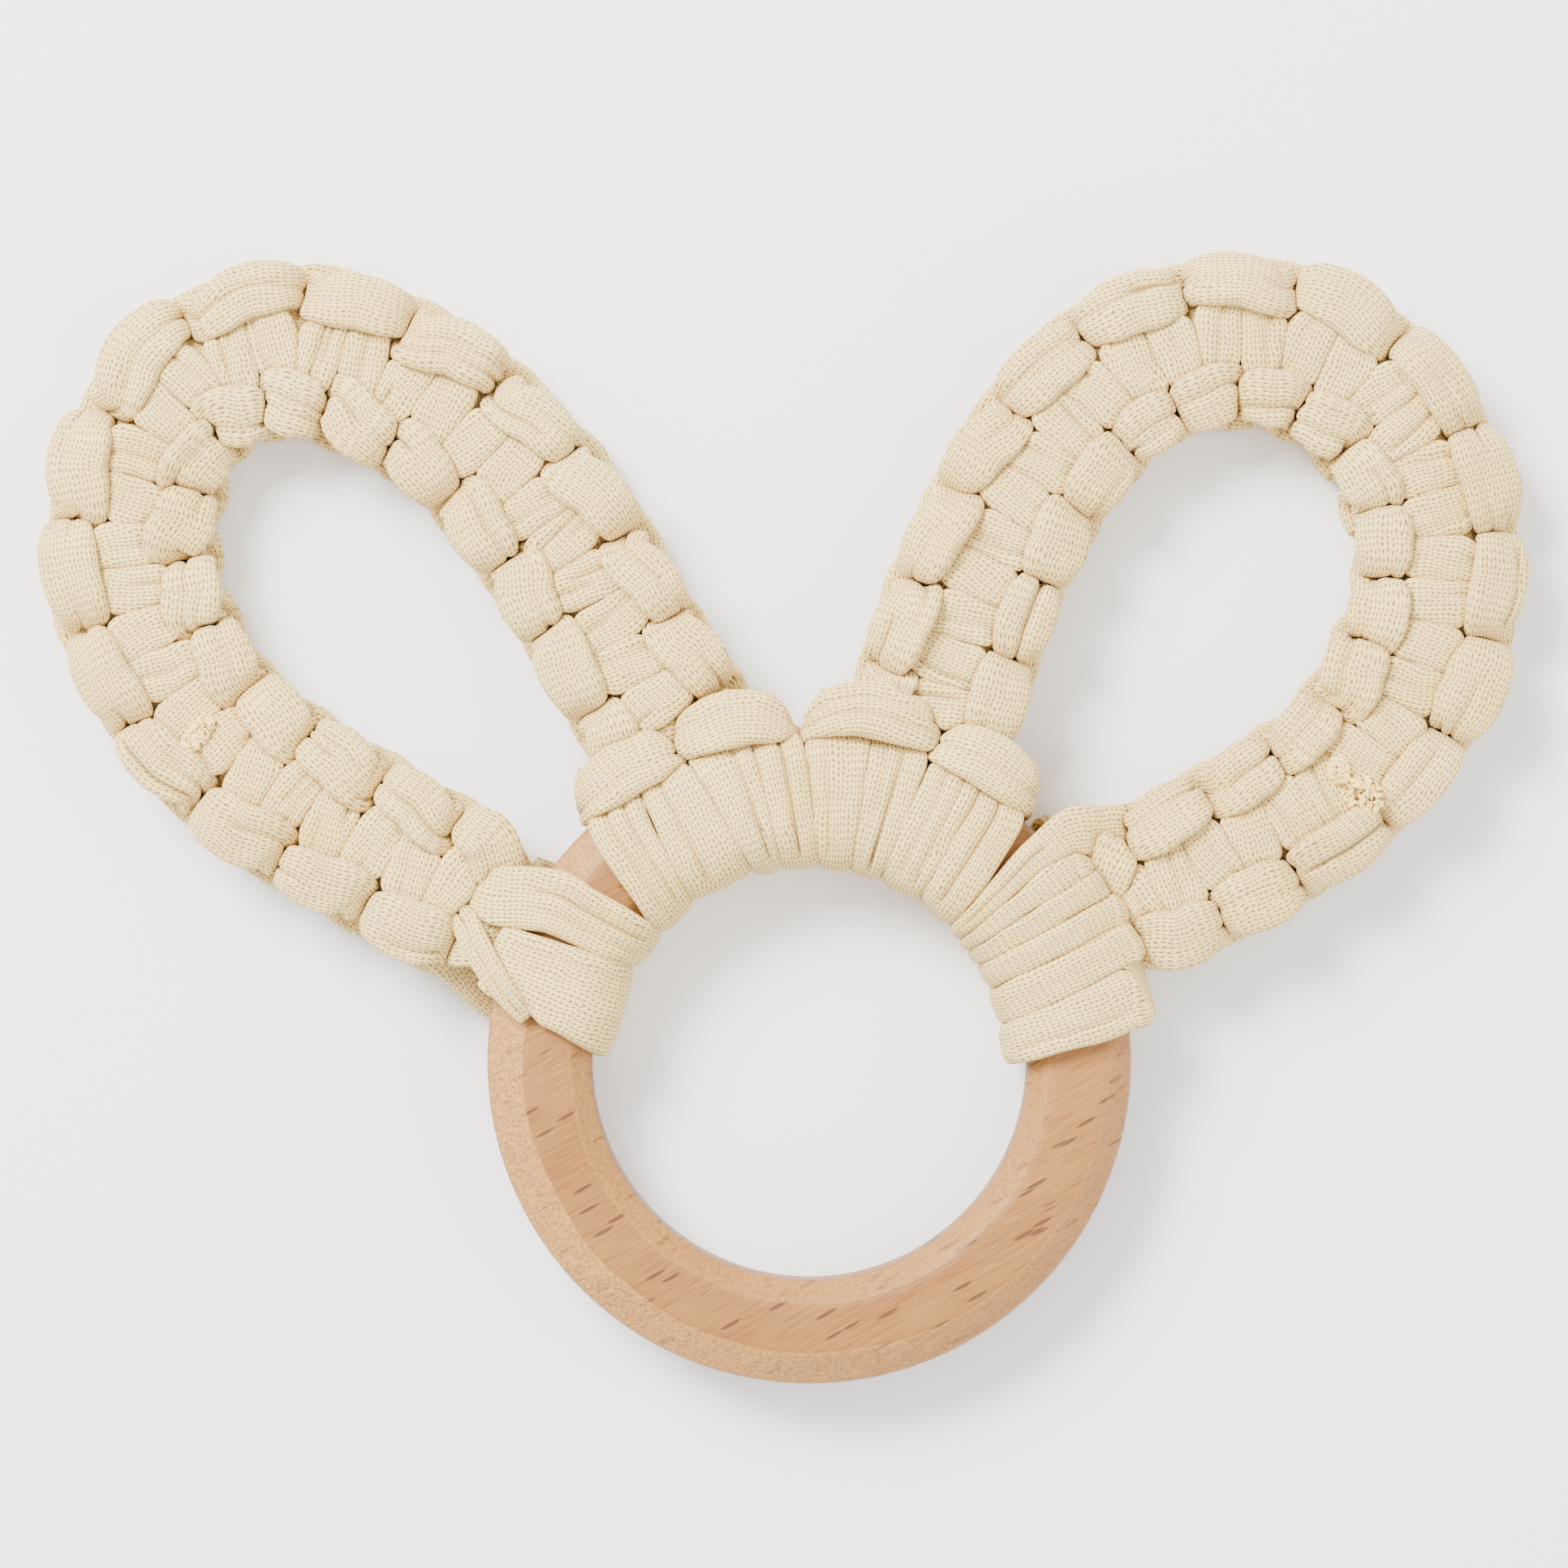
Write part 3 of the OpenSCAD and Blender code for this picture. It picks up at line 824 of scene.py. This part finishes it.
def wood_material():
    """Hand-sanded beech: straight grain that runs across the ring, with short dark flecks."""
    n = Nodes("sanded_beech")
    place = n.node("ShaderNodeTexCoord", "Object")
    turned = n.tree.nodes.new("ShaderNodeMapping")
    turned.vector_type = "TEXTURE"
    turned.inputs["Rotation"].default_value = (0, 0, math.radians(GRAIN_ANGLE))
    n.tree.links.new(place, turned.inputs[0])

    def stretched(along, across, deep):
        node = n.tree.nodes.new("ShaderNodeMapping")
        node.inputs["Scale"].default_value = (along, across, deep)
        n.tree.links.new(turned.outputs[0], node.inputs[0])
        return node.outputs[0]

    broad = n.node("ShaderNodeTexNoise", Vector=stretched(25, 160, 160), Scale=1.0, Detail=3.0)
    fine = n.node("ShaderNodeTexNoise", Vector=stretched(220, 2600, 1600), Scale=1.0, Detail=4.0)
    fleck = n.node("ShaderNodeTexVoronoi", Vector=stretched(150, 1000, 220), Scale=1.0)
    grit = n.node("ShaderNodeTexNoise", Vector=place, Scale=2600.0, Detail=4.0)
    zones = n.node("ShaderNodeTexNoise", Vector=place, Scale=110.0, Detail=2.0)
    rough_zone = n.ramp(zones, [(0.46, BLACK), (0.56, WHITE)])
    wood = n.ramp(broad, [(0.3, WOOD_DEEP), (0.7, WOOD_PLAIN)])
    lined = n.blend(0.8, wood, n.ramp(fine, [(0.3, WOOD_LINE), (0.55, WHITE)]), "MULTIPLY")
    mark = n.ramp(fleck, [(0.15, WHITE), (0.23, BLACK)])
    marked = n.blend(n.math("MULTIPLY", mark, 0.9), lined, (*WOOD_FLECK, 1))
    sanded = n.attribute("sanded")
    speckled = n.ramp(grit, [(0.35, WOOD_PLAIN), (0.6, WOOD_SANDED)])
    pale = n.blend(n.math("MULTIPLY", sanded, 0.75), marked, speckled)
    n.put(n.shader.inputs["Base Color"], pale)
    n.put(n.shader.inputs["Roughness"], 0.5)
    n.put(n.shader.inputs["Specular IOR Level"], 0.3)
    n.put(n.shader.inputs["Coat Weight"], 0.04)
    n.put(n.shader.inputs["Coat Roughness"], 0.35)
    torn = n.math("MULTIPLY", n.math("MULTIPLY", grit, rough_zone), sanded)
    height = n.math("ADD", n.math("MULTIPLY", fine, 0.8), n.math("MULTIPLY", torn, 2.0))
    height = n.math("SUBTRACT", height, n.math("MULTIPLY", mark, 0.8))
    bump = n.node("ShaderNodeBump", Strength=0.6, Distance=0.00025, Height=height)
    n.put(n.shader.inputs["Normal"], bump)
    return n.material


YARN = yarn_material()
FRAYED = frayed_material()
WOOD = wood_material()

# ---------------------------------------------------------------- wooden ring

# Height of every bevel, width of the one round the hole, how much they wave, and points in each corner
BEVEL_H = 2.2
HOLE_BEVEL = 2.4
BEVEL_WAVE = 0.4
CORNER_POINTS = 6


def ring_section(angle):
    """Points of the ring's section at an angle, as r, z and how sanded the wood is there.

    The ring is sanded by hand: the rim's bevel is wider, rougher and sharper on the left than on the right.
    """
    a = math.radians(angle)
    wave = BEVEL_WAVE * noise.noise(Vector((math.cos(a) * 3, math.sin(a) * 3, 1.0)))
    left = (1 - math.cos(math.radians(angle - 15))) / 2
    rim_in = RIM_R - mix(2.5, 4.0, left) - wave
    hole_out = HOLE_R + HOLE_BEVEL + wave
    shoulder = HALF_T - BEVEL_H
    outline = [
        (HOLE_R, -shoulder), (hole_out, -HALF_T), (rim_in, -HALF_T), (RIM_R, -shoulder),
        (RIM_R, shoulder), (rim_in, HALF_T), (hole_out, HALF_T), (HOLE_R, shoulder),
    ]
    points = []
    for k in range(len(outline)):
        before, here, after = (np.array(outline[i % len(outline)]) for i in (k - 1, k, k + 1))
        start = here + unit(before - here) * mix(0.9, 0.55, left)
        end = here + unit(after - here) * mix(0.9, 0.55, left)
        wear = mix(0.25, 1.0, left) if k in (2, 3, 4, 5) else 0.5
        for t in np.linspace(0, 1, CORNER_POINTS):
            r, z = (1 - t) ** 2 * start + 2 * t * (1 - t) * here + t * t * end
            on_bevel = t > 0.5 if k % 2 == 0 else t < 0.5
            points.append((r, z, wear if on_bevel else 0.0))
    return points


def wooden_ring():
    around = 720
    verts, sanded = [], []
    for i in range(around):
        angle = 360 * i / around
        for r, z, wear in ring_section(angle):
            verts.append(tuple(polar(r, angle, z) * MM))
            sanded.append(wear)
    size = len(verts) // around
    faces = []
    for i in range(around):
        for j in range(size):
            a, b = i * size, (i + 1) % around * size
            faces.append((a + j, b + j, b + (j + 1) % size, a + (j + 1) % size))
    mesh = smooth_mesh("beech_ring", verts, faces)
    mark_points(mesh, "sanded", sanded)
    ring = as_object("beech_ring", mesh, WOOD)
    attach(ring, "ring")
    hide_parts("wooden_ring")


# ---------------------------------------------------------------- putting it together

# Folds along the yarn, each (stretch on the front of the bar or -1 for the folded end, place across, depth)
CREASES = {
    "left_hitch_far": ((0, 0.3, 0.8), (0, -0.4, 0.6), (1, -0.3, 0.8), (-1, 0.35, 0.6)),
    "left_hitch_near": ((0, -0.35, 0.8), (1, 0.1, 0.8), (-1, -0.3, 0.5)),
    "right_hitch_near": ((0, 0.35, 0.6), (1, 0.1, 0.8), (1, -0.45, 0.7), (-1, 0.2, 0.8), (-1, -0.35, 0.6)),
    "right_hitch_far": ((0, 0.3, 0.8), (0, -0.35, 0.7), (1, -0.1, 0.8), (-1, 0.1, 0.5)),
    "left_end_wrap_near": ((0, 0.35, 0.6), (0, -0.25, 0.7), (0, -0.6, 0.7)),
    "left_end_wrap_far": ((0, -0.65, 0.7), (0, -0.2, 0.6)),
    "left_end_fold": ((-1, 0.0, 0.6),),
    "right_end_wrap_near": ((0, 0.1, 0.6),),
    "right_end_wrap_far": ((0, 0.2, 0.4), (3, -0.35, 0.7)),
}

# The CAD nodes that a yarn stands for, where they aren't the one with its own name
REPLACED = {
    "left_front_cord": ("left_front_cord", "left_hitch_tails"),
    "left_back_cord": ("left_back_cord", "left_end_tails"),
    "right_front_cord": ("right_front_cord", "right_hitch_tails"),
    "right_back_cord": ("right_back_cord", "right_end_tails"),
    "left_end_fold": (),
}


def ear_strands(ears):
    """The four cords of each ear, by name."""
    strands = {}
    for name, ear in ears.items():
        for face, role in ((1, "back_cord"), (-1, "front_cord")):
            strands[f"{name}_{role}"] = knotting_strand(ear, face, 11 + face + ear.side * 3)
        for place, role in ((1, "filler_outer"), (-1, "filler_inner")):
            strands[f"{name}_{role}"] = filler_strand(ear, place)
    return strands


def mount_strands():
    """The yarn on the wooden ring, by name. Its edges are angles round the ring."""
    return {
        "left_hitch_far": hitch_strand(121.0, 37.7, (0.6, 1.0), (132.3, 121.4, 113), (138.7, 126.4, 106)),
        "left_hitch_near": hitch_strand(102.2, 38.2, (0.8, 3.2), (113, 101, 92.2), (106, 98, 87.5)),
        "right_hitch_near": hitch_strand(80.5, 38.9, (3.8, 1.0), (91.6, 79.5, 68.1), (87, 78, 69.1)),
        "right_hitch_far": hitch_strand(60.0, 38.1, (1.0, 0.6), (68.1, 58.5, 49.3), (69.1, 56, 43.5)),
        "left_end_wrap_near": coil_strand(
            (155.4, 143.3), (150.9, 139), (1.0,),
            lead_in=((44.0, 153.2, 1.2, 1.4), (41.0, 152.8, 2.6, 1.5), (38.2, 151.8, 4.4, 2.2))),
        "left_end_wrap_far": coil_strand(
            (166.5, 155.5), (178, 151), (0.8,),
            lead_out=((31.0, 168.5, -6.0, 2.2), (34.0, 169.0, -5.2, 1.7), (36.8, 167.0, -3.6, 1.5),
                      (40.4, 164.3, -2.2, 1.4), (44.0, 162.0, -1.2, 1.4))),
        "left_end_fold": ring_strand(FOLDED_END),
        "right_end_wrap_near": coil_strand(
            (46.5, 40, 34), (43, 39, 35), (1.2, 1.4),
            lead_in=((43.0, 36.5, 1.0, 1.3), (40.6, 38.5, 2.6, 1.4), (38.0, 41.0, 4.4, 1.6))),
        "right_end_wrap_far": coil_strand(
            (34, 29, 24.5, 18.5, 7.4), (35, 30, 22, 11, 0), (1.8, 2.2, 2.2, 1.2)),
    }


def yarn_piece(name, points, strand, crease_shade):
    """Object for a strand that has been filled out, flat where it lies on the table."""
    points[..., 2] = flattened(points[..., 2], REST_Z)
    mesh = mesh_from_grid(f"yarn_{name}", points, strand.along, crease_shade)
    piece = as_object(f"yarn_{name}", mesh, YARN)
    replaced = REPLACED.get(name, (name,))
    if replaced:
        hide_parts(*replaced)
    return piece


def bend_over_foot(piece):
    """Bake a piece's place into its mesh. Its points already bend down past the ear's foot."""
    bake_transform(piece)


ears = {name: Ear(name) for name in EARS}
of_ears = ear_strands(ears)
of_mounts = mount_strands()
for name, folds in CREASES.items():
    for fold in folds:
        of_mounts[name].crease(*fold)
every_strand = [*of_ears.values(), *of_mounts.values()]

for name, strand in of_ears.items():
    ear = ears[name.split("_")[0]]
    points, crease_shade = fill_out(every_strand, strand)
    bend_over_foot(yarn_piece(name, ear.hang(points), strand, crease_shade))
for name, strand in of_mounts.items():
    side = name.split("_")[0]
    points, crease_shade = fill_out(every_strand, strand)
    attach(yarn_piece(name, points, strand, crease_shade), f"{side}_mount")

for name, *facts in TRIMMED_ENDS:
    trimmed_end(ears[name], *facts)
wooden_ring()

# ---------------------------------------------------------------- floor, light and camera


def stage():
    """Pale floor under the toy, two soft lamps and a white sky."""
    bpy.ops.mesh.primitive_plane_add(size=4, location=(0, 0, REST_Z * MM))
    floor = bpy.context.object
    floor.name = "floor"
    n = Nodes("pale_floor")
    grain = n.node("ShaderNodeTexNoise", Scale=3.0)
    n.put(n.shader.inputs["Base Color"], n.ramp(grain, [(0.3, FLOOR_DARK), (0.7, FLOOR_PALE)]))
    n.put(n.shader.inputs["Roughness"], 0.9)
    floor.data.materials.append(n.material)
    soft_light("key", (-0.45, 0.5, 0.7), 0.4, 31.0)
    soft_light("fill", (0.6, -0.2, 0.6), 0.7, 6.0)
    world = bpy.data.worlds.new("world")
    bpy.context.scene.world = world
    world.use_nodes = True
    background = world.node_tree.nodes["Background"]
    background.inputs["Color"].default_value = (1, 1, 1, 1)
    background.inputs["Strength"].default_value = 1.7


def soft_light(name, place, size, power):
    """Square lamp that faces the toy. Its place and size are in metres."""
    light = bpy.data.lights.new(name, "AREA")
    light.size = size
    light.energy = power
    lamp = bpy.data.objects.new(name, light)
    lamp.location = place
    lamp.rotation_euler = (-Vector(place)).to_track_quat("-Z", "Y").to_euler()
    bpy.context.scene.collection.objects.link(lamp)


def camera():
    """Straight above the toy, far enough for the slight perspective of a close product shot. In metres."""
    across = 0.1711
    height = 0.65
    data = bpy.data.cameras.new("camera")
    data.sensor_width = 36
    data.lens = data.sensor_width * height / across
    data.clip_start = 0.01
    view = bpy.data.objects.new("camera", data)
    view.location = (-0.00275, 0.0302, height)
    bpy.context.scene.collection.objects.link(view)
    bpy.context.scene.camera = view


stage()
camera()
